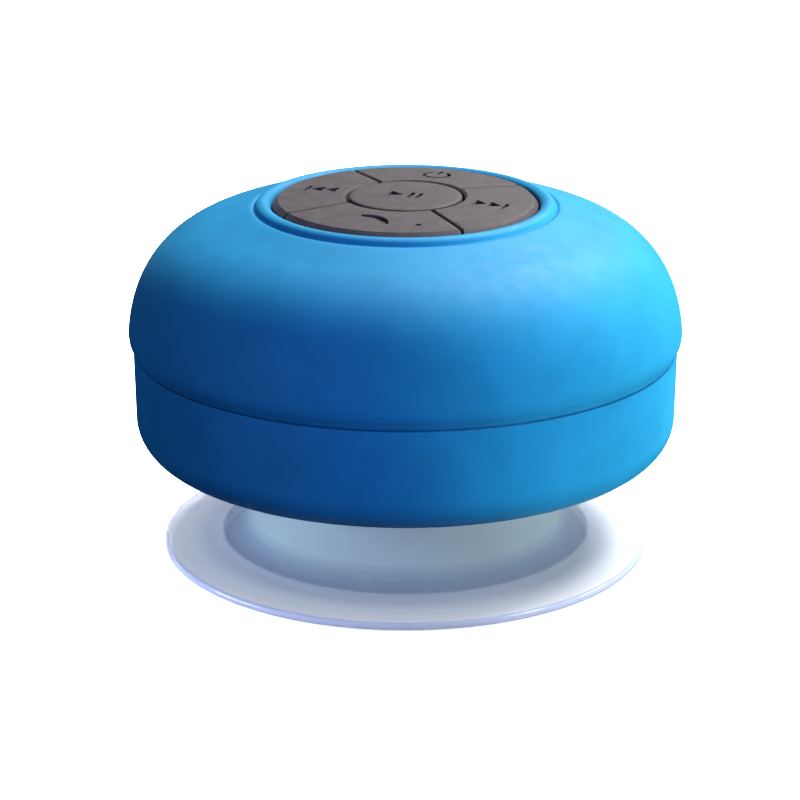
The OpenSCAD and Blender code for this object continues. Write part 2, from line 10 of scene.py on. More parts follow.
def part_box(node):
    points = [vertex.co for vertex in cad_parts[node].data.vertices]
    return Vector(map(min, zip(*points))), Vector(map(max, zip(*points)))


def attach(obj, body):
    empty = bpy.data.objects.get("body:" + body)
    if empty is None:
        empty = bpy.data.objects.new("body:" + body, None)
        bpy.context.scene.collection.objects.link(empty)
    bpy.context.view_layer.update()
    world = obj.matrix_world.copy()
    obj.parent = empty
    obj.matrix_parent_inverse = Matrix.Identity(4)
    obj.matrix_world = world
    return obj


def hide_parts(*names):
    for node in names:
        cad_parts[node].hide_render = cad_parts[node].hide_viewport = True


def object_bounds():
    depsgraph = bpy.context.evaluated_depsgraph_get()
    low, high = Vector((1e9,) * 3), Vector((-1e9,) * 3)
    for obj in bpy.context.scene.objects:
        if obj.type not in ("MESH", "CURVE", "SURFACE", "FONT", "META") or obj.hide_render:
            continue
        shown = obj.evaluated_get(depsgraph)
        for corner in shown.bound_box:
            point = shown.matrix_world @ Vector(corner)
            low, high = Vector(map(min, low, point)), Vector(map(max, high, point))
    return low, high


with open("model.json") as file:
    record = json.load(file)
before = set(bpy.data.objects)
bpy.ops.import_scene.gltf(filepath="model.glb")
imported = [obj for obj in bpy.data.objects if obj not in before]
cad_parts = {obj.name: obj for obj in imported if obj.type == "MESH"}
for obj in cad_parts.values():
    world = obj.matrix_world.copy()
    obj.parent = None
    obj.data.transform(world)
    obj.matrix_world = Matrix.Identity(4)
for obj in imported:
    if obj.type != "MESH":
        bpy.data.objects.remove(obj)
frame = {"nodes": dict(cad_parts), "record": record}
cad_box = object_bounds()

MM = 0.001
TURN = 2 * math.pi


# ---------------------------------------------------------------- sizes, in millimetres, from the frame

def box_mm(node):
    low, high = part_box(node)
    return low / MM, high / MM


dome_low, dome_high = box_mm("dome_cover")
band_low, band_high = box_mm("band")
centre_low, centre_high = box_mm("key_play")
web_low = box_mm("keypad_web")[0]
key_high = box_mm("key_next")[1]
plate_high = box_mm("rear_plate")[1]
cup_high = box_mm("suction_cup")[1]

# The dome's side is a superellipse; its full radius is a little more than the widest point of the skirt
SKIRT_INSET = 0.07
DOME_R = dome_high.x + SKIRT_INSET
DOME_Z = 33.3
DOME_H = 20.9
DOME_N = 4.9
DOME_M = 2.05
COVER_T = 1.4
SKIRT_Z = 35.5
SEAM_Z = dome_low.z - 0.15

CROWN_Z = centre_high.z
KEYPAD_R = key_high.x
KEY_EDGE_R = 0.85
SIDE_EDGE_R = 0.16
INNER_EDGE_R = 0.35
EDGE_STEPS = 6
KEY_CROWN = 0.65
KEY_EDGE_Z = CROWN_Z - KEY_CROWN - KEY_EDGE_R
KEY_BASE_Z = 53.8
CENTRE_R = centre_high.x
KEY_GAP = 0.5
SWITCH_R = 13.9
POST_R = 1.6
POST_Z = centre_low.z
WELL_R = KEYPAD_R + 0.33
DECK_Z = web_low.z
MIC_AT = Vector((7.2, -14.3))
MIC_R = 0.5
ICON_DEPTH = 0.5
CUTTER_TOP_Z = 60   # clear of the whole keypad

BAND_TOP_R = band_high.x
BAND_LOW_R = 42.1
BAND_T = 1.35
BAND_LIP_T = 1.3
BAND_FILLET = 5.7
BAND_FOOT_Z = band_low.z
BAND_TOP_Z = band_high.z
PLATE_R = plate_high.x

# The flap's hinge line runs along X at this place
HINGE_Y = 42
HINGE_Z = 21.9

CUP_R = cup_high.x


# ---------------------------------------------------------------- mesh helpers

def arc(centre, radius, start, end, steps):
    """Points along an arc, angles in degrees."""
    angles = [math.radians(start + (end - start) * i / steps) for i in range(steps + 1)]
    return [(centre[0] + radius * math.cos(a), centre[1] + radius * math.sin(a)) for a in angles]


def new_object(name, bm, sharp=35):
    bmesh.ops.recalc_face_normals(bm, faces=bm.faces)
    mesh = bpy.data.meshes.new(name)
    bm.to_mesh(mesh)
    bm.free()
    mesh.shade_smooth()
    mesh.set_sharp_from_angle(angle=math.radians(sharp))
    obj = bpy.data.objects.new(name, mesh)
    bpy.context.scene.collection.objects.link(obj)
    return obj


def lathe(name, profile, segments, sharp=35):
    """Solid of revolution. The profile is a closed loop of (radius, height) in mm.

    Points on the axis are shared by all the segments.
    """
    bm = bmesh.new()
    columns = []
    for r, z in profile:
        if r < 1e-6:
            columns.append([bm.verts.new((0, 0, z * MM))] * segments)
        else:
            columns.append([bm.verts.new((r * MM * math.cos(TURN * k / segments),
                                          r * MM * math.sin(TURN * k / segments), z * MM))
                            for k in range(segments)])
    for i in range(len(profile)):
        a, b = columns[i], columns[(i + 1) % len(profile)]
        for k in range(segments):
            n = (k + 1) % segments
            corners = []
            for v in (a[k], a[n], b[n], b[k]):
                if v not in corners:
                    corners.append(v)
            if len(corners) > 2:
                bm.faces.new(corners)
    return new_object(name, bm, sharp)


def prism(name, outline, z0, z1):
    """Extruded outline, all in mm."""
    bm = bmesh.new()
    low = [bm.verts.new((x * MM, y * MM, z0 * MM)) for x, y in outline]
    high = [bm.verts.new((x * MM, y * MM, z1 * MM)) for x, y in outline]
    bm.faces.new(low)
    bm.faces.new(high)
    for i in range(len(outline)):
        j = (i + 1) % len(outline)
        bm.faces.new((low[i], low[j], high[j], high[i]))
    return new_object(name, bm)


def cut(obj, *cutters, sharp=35):
    """Takes the cutters out of obj and removes them."""
    for cutter in cutters:
        modifier = obj.modifiers.new("cut", "BOOLEAN")
        modifier.operation = "DIFFERENCE"
        modifier.solver = "EXACT"
        modifier.object = cutter
        depsgraph = bpy.context.evaluated_depsgraph_get()
        mesh = bpy.data.meshes.new_from_object(obj.evaluated_get(depsgraph))
        obj.modifiers.remove(modifier)
        obj.data = mesh
        bpy.data.objects.remove(cutter)
    obj.data.shade_smooth()
    obj.data.set_sharp_from_angle(angle=math.radians(sharp))
    return obj


def curve(start, middle, end, steps):
    """Quadratic curve between two points, pulled towards the middle one."""
    points = []
    for k in range(steps + 1):
        t = k / steps
        q = start * (1 - t) ** 2 + middle * 2 * t * (1 - t) + end * t * t
        points.append((q.x, q.y))
    return points


def add_meshes(obj, *extras):
    """Joins the extra pieces into obj and removes them."""
    bm = bmesh.new()
    for piece in (obj, *extras):
        bm.from_mesh(piece.data)
    bm.to_mesh(obj.data)
    bm.free()
    for piece in extras:
        bpy.data.objects.remove(piece)


def rounded(points, radius, steps=4):
    """Polygon with every corner rounded."""
    result = []
    n = len(points)
    for i in range(n):
        p, a, b = Vector(points[i]), Vector(points[i - 1]), Vector(points[(i + 1) % n])
        u, v = (a - p).normalized(), (b - p).normalized()
        half = u.angle(v) / 2
        reach = min(radius / math.tan(half), (a - p).length * 0.45, (b - p).length * 0.45)
        result += curve(p + u * reach, p, p + v * reach, steps)
    return result


def moved(points, x, y, degrees=0):
    c, s = math.cos(math.radians(degrees)), math.sin(math.radians(degrees))
    return [(x + (c * px - s * py), y + s * px + c * py) for px, py in points]


# ---------------------------------------------------------------- material helpers

def colour_of(slot):
    for m in frame["record"]["materials"]:
        if m["slot"] == slot:
            return m["base_color"][:3]
    raise KeyError(slot)


class Surface:
    """A Principled material with procedural detail in the piece's own coordinates."""

    def __init__(self, name, roughness=0.5, metallic=0.0, specular=0.5):
        self.material = bpy.data.materials.new(name)
        self.material.use_nodes = True
        self.tree = self.material.node_tree
        self.shader = self.tree.nodes["Principled BSDF"]
        self.shader.inputs["Roughness"].default_value = roughness
        self.shader.inputs["Metallic"].default_value = metallic
        self.shader.inputs["Specular IOR Level"].default_value = specular
        self.place = self.tree.nodes.new("ShaderNodeTexCoord").outputs["Object"]
        self.height = None

    def set(self, **values):
        for key, value in values.items():
            self.shader.inputs[key.replace("_", " ")].default_value = value
        return self

    def node(self, kind, **settings):
        node = self.tree.nodes.new(kind)
        for key, value in settings.items():
            setattr(node, key, value)
        return node

    def link(self, out, into):
        self.tree.links.new(out, into)

    def noise(self, size_mm, detail=3.0, roughness=0.5, stretch=(1, 1, 1)):
        """Noise whose features are about size_mm across."""
        mapping = self.node("ShaderNodeMapping")
        mapping.inputs["Scale"].default_value = [s / (size_mm * MM) for s in stretch]
        self.link(self.place, mapping.inputs["Vector"])
        noise = self.node("ShaderNodeTexNoise")
        noise.inputs["Scale"].default_value = 1.0
        noise.inputs["Detail"].default_value = detail
        noise.inputs["Roughness"].default_value = roughness
        self.link(mapping.outputs["Vector"], noise.inputs["Vector"])
        return noise.outputs["Fac"]

    def span(self, value, low, high, from_low=0.3, from_high=0.7):
        """Maps a 0..1 texture to a range."""
        node = self.node("ShaderNodeMapRange")
        node.inputs["From Min"].default_value = from_low
        node.inputs["From Max"].default_value = from_high
        node.inputs["To Min"].default_value = low
        node.inputs["To Max"].default_value = high
        self.link(value, node.inputs["Value"])
        return node.outputs["Result"]

    def ramp(self, value, stops):
        node = self.node("ShaderNodeValToRGB")
        elements = node.color_ramp.elements
        while len(elements) < len(stops):
            elements.new(0.5)
        for element, (at, colour) in zip(elements, stops):
            element.position = at
            element.color = (*colour, 1)
        self.link(value, node.inputs["Fac"])
        return node.outputs["Color"]

    def colour(self, out):
        self.link(out, self.shader.inputs["Base Color"])
        return self

    def rough(self, out):
        self.link(out, self.shader.inputs["Roughness"])
        return self

    def bump(self, height, strength, depth_mm):
        """Adds a bump layer of that depth on top of the ones before."""
        node = self.node("ShaderNodeBump")
        node.inputs["Strength"].default_value = strength
        node.inputs["Distance"].default_value = depth_mm * MM
        self.link(height, node.inputs["Height"])
        if self.height:
            self.link(self.height, node.inputs["Normal"])
        self.height = node.outputs["Normal"]
        self.link(self.height, self.shader.inputs["Normal"])
        return self


def shades(colour, low, high):
    return tuple(c * low for c in colour), tuple(min(c * high, 1) for c in colour)


def plain_detail(slot, roughness, size_mm, spread, bump_mm=0.01, metallic=0.0):
    """Moulded, painted or cast stuff: mottled colour, uneven gloss, fine grain."""
    s = Surface(slot, roughness, metallic)
    low, high = shades(colour_of(slot), 1 - spread, 1 + spread)
    s.colour(s.ramp(s.noise(size_mm * 8, 4), [(0.35, low), (0.65, high)]))
    s.rough(s.span(s.noise(size_mm * 3, 3), roughness - 0.07, roughness + 0.07))
    s.bump(s.noise(size_mm, 3), 0.5, bump_mm)
    return s.material


# ---------------------------------------------------------------- materials

def silicone(slot, tint, roughness=0.62, mottle=0.06, cloud_mm=9):
    """Soft-touch silicone: powdery sheen, tiny pits and a faint cloudiness.

    The tint multiplies the slot's colour.
    """
    s = Surface(slot, roughness, specular=0.24)
    base = tuple(c * t for c, t in zip(colour_of(slot), tint))
    low, high = shades(base, 1 - mottle, 1 + mottle)
    s.colour(s.ramp(s.noise(cloud_mm, 5, 0.65), [(0.36, low), (0.64, high)]))
    s.rough(s.span(s.noise(2.5, 4), roughness - 0.04, roughness + 0.05))
    s.bump(s.noise(0.35, 2), 0.35, 0.012)
    s.bump(s.noise(3.0, 3), 0.25, 0.02)
    s.set(Sheen_Weight=0.15, Sheen_Roughness=0.4)
    s.shader.inputs["Sheen Tint"].default_value = (*[min(1, c * 1.3 + 0.1) for c in base], 1)
    return s.material


def clear_vinyl(slot):
    """Clear soft vinyl with a lavender cast: mostly see-through, with a wet gloss, and painted shade in the
    dish.
    """
    s = Surface(slot, 0.1, specular=1.0)
    s.set(Alpha=0.48)
    # The dish is darker than the thin flat rim. This is partly the deeper tint of the thicker vinyl and
    # partly painted shade for the body's shadow on the floor beneath. The edge gathers the tint
    out = s.node("ShaderNodeVectorMath", operation="LENGTH")
    flat = s.node("ShaderNodeVectorMath", operation="MULTIPLY")
    flat.inputs[1].default_value = (1, 1, 0)
    s.link(s.place, flat.inputs[0])
    s.link(flat.outputs["Vector"], out.inputs[0])
    radius = s.span(out.outputs["Value"], 0, 1, 0, CUP_R * MM)
    tint_and_painted_shade = [
        # radius in mm, colour
        (0, (0.34, 0.52, 0.63)),
        (24, (0.34, 0.5, 0.62)),
        # painted shade: a dark ring just inside the dish's edge, where the body's shadow falls
        (26, (0.1, 0.18, 0.32)),
        (28.7, (0.03, 0.06, 0.17)),
        (29.2, (0.45, 0.5, 0.68)),
        (34, (0.85, 0.87, 0.96)),
        (37.3, (0.93, 0.93, 0.98)),
        (37.8, (0.42, 0.48, 0.95)),
    ]
    s.colour(s.ramp(radius, [(r / CUP_R, colour) for r, colour in tint_and_painted_shade]))
    s.rough(s.span(s.noise(4, 3), 0.08, 0.2))
    s.bump(s.noise(6, 2), 0.15, 0.03)
    return s.material


def plated_steel(slot):
    """Bright plating with fine turned lines."""
    s = Surface(slot, 0.3, 1.0)
    low, high = shades(colour_of(slot), 0.88, 1.08)
    s.colour(s.ramp(s.noise(3, 5), [(0.35, low), (0.65, high)]))
    s.rough(s.span(s.noise(1.2, 4, stretch=(1, 1, 6)), 0.22, 0.4))
    s.bump(s.noise(0.4, 3, stretch=(1, 1, 8)), 0.3, 0.01)
    return s.material


WAVE_UNIT = 0.314   # a Wave texture of scale 1 repeats at about this length


def woven(slot, pitch_mm):
    """Plain weave: two crossed sets of threads."""
    s = Surface(slot, 0.8, specular=0.3)
    waves = []
    for direction in ("X", "Y"):
        wave = s.node("ShaderNodeTexWave", bands_direction=direction)
        wave.inputs["Scale"].default_value = WAVE_UNIT / (pitch_mm * MM)
        s.link(s.place, wave.inputs["Vector"])
        waves.append(wave.outputs["Fac"])
    both = s.node("ShaderNodeMath", operation="MULTIPLY")
    s.link(waves[0], both.inputs[0])
    s.link(waves[1], both.inputs[1])
    low, high = shades(colour_of(slot), 0.55, 1.25)
    s.colour(s.ramp(both.outputs["Value"], [(0.1, low), (0.8, high)]))
    s.bump(both.outputs["Value"], 0.6, pitch_mm * 0.3)
    s.bump(s.noise(pitch_mm * 0.5, 2), 0.2, 0.02)
    return s.material


# After plain_detail: roughness, grain in mm, spread of colour, bump in mm if it isn't 0.01, metallic.
# After woven: pitch in mm. After silicone: tint, roughness, spread of colour, cloud size in mm.
RECIPES = {
    "silicone_blue": (silicone, (1.2, 1, 0.93)),
    "key_silicone": (silicone, (1.08, 0.98, 1.08), 0.66, 0.14, 2.5),
    "clear_vinyl": (clear_vinyl,),
    "plated_steel": (plated_steel,),
    "mesh_cloth": (woven, 0.35),
    "spider_cloth": (woven, 0.5),
    "shell_plastic": (plain_detail, 0.5, 0.4, 0.05),
    "black_rubber": (plain_detail, 0.7, 0.3, 0.25, 0.02),
    "dark_plastic": (plain_detail, 0.55, 0.25, 0.18, 0.02),
    "switch_stem": (plain_detail, 0.4, 0.2, 0.06),
    "chip_black": (plain_detail, 0.45, 0.15, 0.2),
    "circuit_board": (plain_detail, 0.3, 0.6, 0.15),
    "ferrite": (plain_detail, 0.6, 0.3, 0.2, 0.03),
    "led_resin": (plain_detail, 0.2, 0.2, 0.04),
    "battery_foil": (plain_detail, 0.35, 0.8, 0.08, 0.03, 1.0),
    "foam_tape": (plain_detail, 0.9, 0.25, 0.3, 0.08),
    "cream_plastic": (plain_detail, 0.4, 0.2, 0.05),
    "wire_red": (plain_detail, 0.35, 0.4, 0.1),
    "wire_black": (plain_detail, 0.35, 0.4, 0.2),
    "copper": (plain_detail, 0.3, 0.15, 0.15, 0.03, 1.0),
    "cone_paper": (plain_detail, 0.85, 0.2, 0.3, 0.04),
    "phenolic": (plain_detail, 0.5, 0.3, 0.15, 0.02),
}
MATERIALS = {slot: make(slot, *settings) for slot, (make, *settings) in RECIPES.items()}
BODY_OF = {node: body for body, nodes in frame["record"]["behaviour"]["bodies"].items() for node in nodes}


def dress(obj, slot):
    obj.data.materials.clear()
    obj.data.materials.append(MATERIALS[slot])
    return obj


def stand_for(obj, node, slot):
    """The piece takes the CAD node's place: its body, its slot, and it hides the node."""
    dress(obj, slot)
    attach(obj, BODY_OF[node])
    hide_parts(node)
    return obj


for part in frame["record"]["subparts"]:
    dress(frame["nodes"][part["node"]], part["material_slot"])


# ---------------------------------------------------------------- dome cover

def dome_point(t, inset):
    return ((DOME_R - inset) * math.cos(t) ** (2 / DOME_N),
            DOME_Z + (DOME_H - inset) * math.sin(t) ** (2 / DOME_M))


def dome_curve(inset, z_from, r_to, steps):
    t0 = math.asin(((z_from - DOME_Z) / (DOME_H - inset)) ** (DOME_M / 2))
    t1 = math.acos((r_to / (DOME_R - inset)) ** (DOME_N / 2))
    return [dome_point(t0 + (t1 - t0) * i / steps, inset) for i in range(steps + 1)]


def make_dome_cover():
    half, lip_z, rise, shoulder_r = 1.2, 54.3, 1.0, 29.3
    lip_r = WELL_R + half
    # The skirt, as distances in from DOME_R and up from the seam: a chamfer with a small round at each end
    skirt = [(0.92, 0.22), (0.86, 0.17), (0.8, 0.2), (0.76, 0.28)]
    foot = [(DOME_R - x, SEAM_Z + z) for x, z in skirt]
    foot += [(DOME_R - 0.76 + 0.5 * i / 6, SEAM_Z + 0.28 + 1.17 * i / 6) for i in range(1, 7)]
    skirt = [(0.22, 1.56), (0.18, 1.7), (0.15, 1.9), (0.11, 2.2), (SKIRT_INSET, 2.6)]
    foot += [(DOME_R - x, SEAM_Z + z) for x, z in skirt]
    outside = foot + dome_curve(0, SKIRT_Z, shoulder_r, 72)
    # The dome runs straight up to a narrow groove, and the lip's round bead stands inside it
    start = Vector(outside[-1])
    edge = Vector((lip_r + half + 0.75, lip_z + 0.02))
    outside += [tuple(start.lerp(edge, i / 6)) for i in range(1, 7)]
    dip = [(0.6, 0.03), (0.48, 0), (0.38, -0.07), (0.3, -0.11), (0.22, -0.11), (0.15, -0.06),
           (0.08, 0.03)]
    groove = [(lip_r + half + x, lip_z + z) for x, z in dip]
    lip = [(lip_r + half * x, lip_z + rise * z) for x, z in arc((0, 0), 1, 12, 180, 28)]
    inside = [(WELL_R, DECK_Z)] + dome_curve(COVER_T, 33.8, WELL_R + 0.2, 36)[::-1]
    inside += [(DOME_R - COVER_T, 33.0), (DOME_R - COVER_T, foot[0][1] + 0.05)]
    cover = lathe("dome_cover_skin", outside + groove + lip + inside, 256)
    stand_for(cover, "dome_cover", "silicone_blue")


make_dome_cover()


# ---------------------------------------------------------------- band and port flap

def band_outline(r, fillet, z, steps=18):
    return arc((r - fillet, z + fillet), fillet, -90, 0, steps)


def bent_box(name, width, z0, z1, r0, r1, edge):
    """Box with rounded edges, bent round the Z axis and centred on +Y."""
    bm = bmesh.new()
    bmesh.ops.create_cube(bm, size=1)
    for v in bm.verts:
        v.co = Vector((v.co.x * width, (v.co.y + 0.5) * (r1 - r0), (v.co.z + 0.5) * (z1 - z0)))
    bmesh.ops.bevel(bm, geom=bm.edges[:], offset=edge, segments=4, profile=0.5, affect="EDGES")
    slices = 16
    for i in range(1, slices):
        bmesh.ops.bisect_plane(bm, geom=bm.verts[:] + bm.edges[:] + bm.faces[:],
                               plane_co=(-width / 2 + width * i / slices, 0, 0), plane_no=(1, 0, 0))
    for v in bm.verts:
        r, a, z = r0 + v.co.y, v.co.x / r1, z0 + v.co.z
        v.co = Vector((r * math.sin(a), r * math.cos(a), z)) * MM
    return new_object(name, bm, 50)


def lay_on_hinge(obj):
    """Moves a rod lathed about Z to lie along the flap's hinge line."""
    place = Matrix.Translation((0, HINGE_Y * MM, HINGE_Z * MM))
    obj.data.transform(place @ Matrix.Rotation(math.pi / 2, 4, "Y"))


def make_band():
    wall_r = BAND_LOW_R - BAND_T
    top_round = 0.2
    top = arc((BAND_TOP_R - top_round, BAND_TOP_Z - top_round), top_round, 0, 90, 4)
    profile = [(PLATE_R + 0.1, BAND_FOOT_Z + 0.2), (PLATE_R + 0.3, BAND_FOOT_Z)]
    profile += band_outline(BAND_LOW_R, BAND_FILLET, BAND_FOOT_Z) + top
    profile += [(wall_r, BAND_TOP_Z)]
    profile += band_outline(wall_r, BAND_FILLET - BAND_T, BAND_FOOT_Z + BAND_LIP_T)[::-1]
    profile += [(PLATE_R + 0.1, BAND_FOOT_Z + BAND_LIP_T)]
    band = lathe("band_skin", profile, 256)
    opening = bent_box("opening", width=12.6, z0=21.95, z1=30.8, r0=38, r1=45, edge=0.5)
    groove_r, groove_half = 0.5, 4.2
    groove = lathe("groove", [(0, -groove_half), (groove_r, -groove_half),
                              (groove_r, groove_half), (0, groove_half)], 32)
    lay_on_hinge(groove)
    cut(band, opening, groove)
    stand_for(band, "band", "silicone_blue")


make_band()


def make_port_flap():
    face = bent_box("port_flap_skin", width=12, z0=22.2, z1=30.5, r0=40.85, r1=42.18, edge=0.3)
    plug = bent_box("plug", width=9.4, z0=23.4, z1=28.9, r0=39.4, r1=41.2, edge=0.4)
    bead = lathe("bead", [(0, -4), (0.35, -4), (0.45, -3.9), (0.45, 3.9), (0.35, 4), (0, 4)], 32)
    lay_on_hinge(bead)
    web = bent_box("web", width=8, z0=HINGE_Z, z1=22.6, r0=41.6, r1=41.95, edge=0.1)
    # A nail's hold along the top edge
    tab = bent_box("tab", width=5, z0=29.5, z1=30.3, r0=42.0, r1=42.6, edge=0.25)
    add_meshes(face, plug, bead, web, tab)
    stand_for(face, "port_flap", "silicone_blue")


make_port_flap()


# ---------------------------------------------------------------- keys

def crown(x, y):
    """Height of the keypad's low dome."""
    top_r = KEYPAD_R - KEY_EDGE_R
    return KEY_EDGE_Z + KEY_EDGE_R + KEY_CROWN * (1 - (x * x + y * y) / top_r ** 2)


def outer_key(name, turn, icons):
    """Sector key: a grid over the crown, rounded down to straight walls, with its icon cut in."""
    across, along = 44, 22
    bm = bmesh.new()

    def at(s, t, side, inner, out):
        r_in = CENTRE_R + KEY_GAP + inner
        r = r_in + (KEYPAD_R - out - r_in) * t
        limit = math.pi / 4 - math.asin((KEY_GAP / 2 + side) / r)
        a = math.radians(turn) + (2 * s - 1) * limit
        return r * math.cos(a), r * math.sin(a)

    def vert(s, t, step):
        angle = math.pi / 2 * step / EDGE_STEPS
        edges = (SIDE_EDGE_R, INNER_EDGE_R, KEY_EDGE_R)
        near_out, near_in = max(0, (t - 0.9) / 0.1) ** 2, max(0, (0.1 - t) / 0.1) ** 2
        edge_r = (SIDE_EDGE_R + (KEY_EDGE_R - SIDE_EDGE_R) * near_out
                  + (INNER_EDGE_R - SIDE_EDGE_R) * near_in)
        x, y = at(s, t, *[e * math.sin(angle) for e in edges])
        z = crown(*at(s, t, *edges)) - edge_r * (1 - math.sin(angle))
        if step == EDGE_STEPS:
            z = crown(x, y)
        return bm.verts.new((x * MM, y * MM, z * MM))

    grid = [[vert(i / across, j / along, EDGE_STEPS) for i in range(across + 1)] for j in range(along + 1)]
    for j in range(along):
        for i in range(across):
            bm.faces.new((grid[j][i], grid[j][i + 1], grid[j + 1][i + 1], grid[j + 1][i]))
    rim = [(i, 0) for i in range(across)] + [(across, j) for j in range(along)]
    rim += [(i, along) for i in range(across, 0, -1)] + [(0, j) for j in range(along, 0, -1)]
    loops = [[grid[j][i] for i, j in rim]]
    for step in range(EDGE_STEPS - 1, -1, -1):
        loops.append([vert(i / across, j / along, step) for i, j in rim])
    base = []
    for i, j in rim:
        x, y = at(i / across, j / along, 0, 0, 0)
        base.append(bm.verts.new((x * MM, y * MM, KEY_BASE_Z * MM)))
    loops.append(base)
    for a, b in zip(loops, loops[1:]):
        for k in range(len(rim)):
            n = (k + 1) % len(rim)
            bm.faces.new((a[k], a[n], b[n], b[k]))
    bm.faces.new(base)
    key = new_object(name, bm, 40)
    cutters = [prism("icon", outline, crown(*centre) - ICON_DEPTH, CUTTER_TOP_Z) for outline, centre in icons]
    return cut(key, *cutters, sharp=40)


# How far the corners of the icons' triangles and bars are rounded
POINT_ROUND = 0.15
BAR_ROUND = 0.12


def bar(x0, x1, y0, y1):
    return rounded([(x0, y0), (x1, y0), (x1, y1), (x0, y1)], BAR_ROUND)


def skip_icon(x, y, flip):
    """Two triangles and a bar; flip is 1 or -1. Each outline comes with the place that sets its depth."""
    shapes = [rounded(moved([(0, -1.45), (2.1, 0), (0, 1.45)], dx, 0), POINT_ROUND) for dx in (-2.75, -0.45)]
    shapes.append(bar(1.85, 2.5, -1.45, 1.45))
    return [(moved([(flip * px, py) for px, py in shape], x, y), (x, y)) for shape in shapes]


def play_icon():
    """Triangle and two bars, about the origin."""
    triangle = rounded(moved([(0, -1.5), (2.5, 0), (0, 1.5)], -2.7, 0), POINT_ROUND)
    return [triangle] + [bar(x, x + 0.7, -1.5, 1.5) for x in (0.55, 1.85)]


def open_ring(r_out, r_in, start, end, steps=28):
    return arc((0, 0), r_out, start, end, steps) + arc((0, 0), r_in, end, start, steps)


def power_icon(x, y):
    """Ring open at the top, with a bar in the opening."""
    shapes = [open_ring(2.3, 1.7, 122, 418), bar(-0.3, 0.3, 0.35, 2.8)]
    return [(moved(shape, x, y), (x, y)) for shape in shapes]


def call_icon(x, y):
    """Handset: a thick bow with a blunt ear piece and mouth piece."""
    pad = [(3.2, -0.55), (2.6, -1.2), (1.85, -0.8)]
    shape = arc((0, -2.7), 3.85, 140, 40, 20) + pad + arc((0, -2.7), 2.5, 50, 130, 16)
    shape += [(-px, py) for px, py in pad[::-1]]
    return [(moved(shape, x, y, -33), (x, y))]


def post(x, y):
    """Round post under a key, down to the switch."""
    profile = [(0, POST_Z), (POST_R - 0.2, POST_Z), (POST_R, POST_Z + 0.2), (POST_R, KEY_BASE_Z + 0.2),
               (0, KEY_BASE_Z + 0.2)]
    peg = lathe("post", profile, 48)
    peg.data.transform(Matrix.Translation((x * MM, y * MM, 0)))
    return peg


def make_outer_keys():
    keys = {
        "next": (0, skip_icon(SWITCH_R, 0, 1)),
        "power": (90, power_icon(0, SWITCH_R + 0.5)),
        "previous": (180, skip_icon(-SWITCH_R, 0, -1)),
        "call": (270, call_icon(0.5, -SWITCH_R + 0.3)),
    }
    for name, (turn, icons) in keys.items():
        key = outer_key(f"key_{name}_cap", turn, icons)
        if name == "call":
            cut(key, prism("hole", arc(MIC_AT, MIC_R, 0, 345, 23), 50, CUTTER_TOP_Z), sharp=40)
        a = math.radians(turn)
        add_meshes(key, post(SWITCH_R * math.cos(a), SWITCH_R * math.sin(a)))
        stand_for(key, f"key_{name}", "key_silicone")


make_outer_keys()


def make_centre_key():
    r = CENTRE_R - INNER_EDGE_R
    profile = [(0, KEY_BASE_Z), (CENTRE_R, KEY_BASE_Z)]
    profile += arc((r, crown(CENTRE_R, 0) - INNER_EDGE_R), INNER_EDGE_R, 0, 80, EDGE_STEPS)
    profile += [(r * i / 18, crown(r * i / 18, 0)) for i in range(17, -1, -1)]
    key = lathe("key_play_cap", profile, 128, 40)
    cutters = [prism("icon", outline, CROWN_Z - ICON_DEPTH, CUTTER_TOP_Z) for outline in play_icon()]
    cut(key, *cutters, sharp=40)
    add_meshes(key, post(0, 0))
    stand_for(key, "key_play", "key_silicone")


make_centre_key()


# ---------------------------------------------------------------- suction cup

def make_suction_cup():
    dish_r, wall, flange_t, rim_t = 29.2, 0.8, 1.7, 1.1
    hollow_h, middle_z = 8.0, 10.4
    neck_r, neck_fillet = 4.95, 1.2
    head_r, head_z, head_top, head_round = 7.0, 14.2, 17.0, 1.0
    blend_r = 2.2

    def cap(r, top, foot):
        """Spherical cap: the centre height, the radius and half the angle it spans."""
        h = top - foot
        ball = (r * r + h * h) / (2 * h)
        return top - ball, ball, math.degrees(math.asin(r / ball))

    in_z, in_ball, in_a = cap(dish_r - wall, hollow_h, 0)
    out_z, out_ball, out_a = cap(dish_r, middle_z, flange_t)
    hollow = arc((0, in_z), in_ball, 90, 90 - in_a + 0.3, 48)
    foot = [(dish_r - 0.75, 0.08), (dish_r - 0.5, 0)]
    rim = arc((CUP_R - 0.5, 0.5), 0.5, -90, -20, 5) + arc((CUP_R - 0.45, rim_t - 0.45), 0.45, 20, 90, 6)
    neck_a = math.degrees(math.asin((neck_r + neck_fillet) / out_ball))
    top = arc((0, out_z), out_ball, 90 - out_a + 2.2, 90 - neck_a, 48)
    # The flat rim runs into the dish on a soft curve
    start = Vector((dish_r + blend_r, flange_t - 0.12))
    low = Vector((dish_r + 0.1, flange_t - 0.05))
    blend = curve(start, low, Vector(top[0]), 12)[:-1]
    fillet = arc((neck_r + neck_fillet, top[-1][1] + neck_fillet), neck_fillet, -90, -180, 8)
    head = [(neck_r, head_z)] + arc((head_r - 0.3, head_z + 0.3), 0.3, -90, 0, 4)
    head += arc((head_r - head_round, head_top - head_round), head_round, 0, 90, 6) + [(0, head_top)]
    cup = lathe("suction_cup_clear", hollow + foot + rim + blend + top + fillet + head, 256, 50)
    return stand_for(cup, "suction_cup", "clear_vinyl")


cup = make_suction_cup()


# ---------------------------------------------------------------- camera, floor and light

CAMERA_AZIMUTH = math.radians(20)
CAMERA_ELEVATION = math.radians(21.69)
CAMERA_DISTANCE = 0.445
CAMERA_PITCH = math.radians(2.78)
CAMERA_LENS = 125.24
CAMERA_SENSOR = 36
CAMERA_SHIFT_X = -0.0068


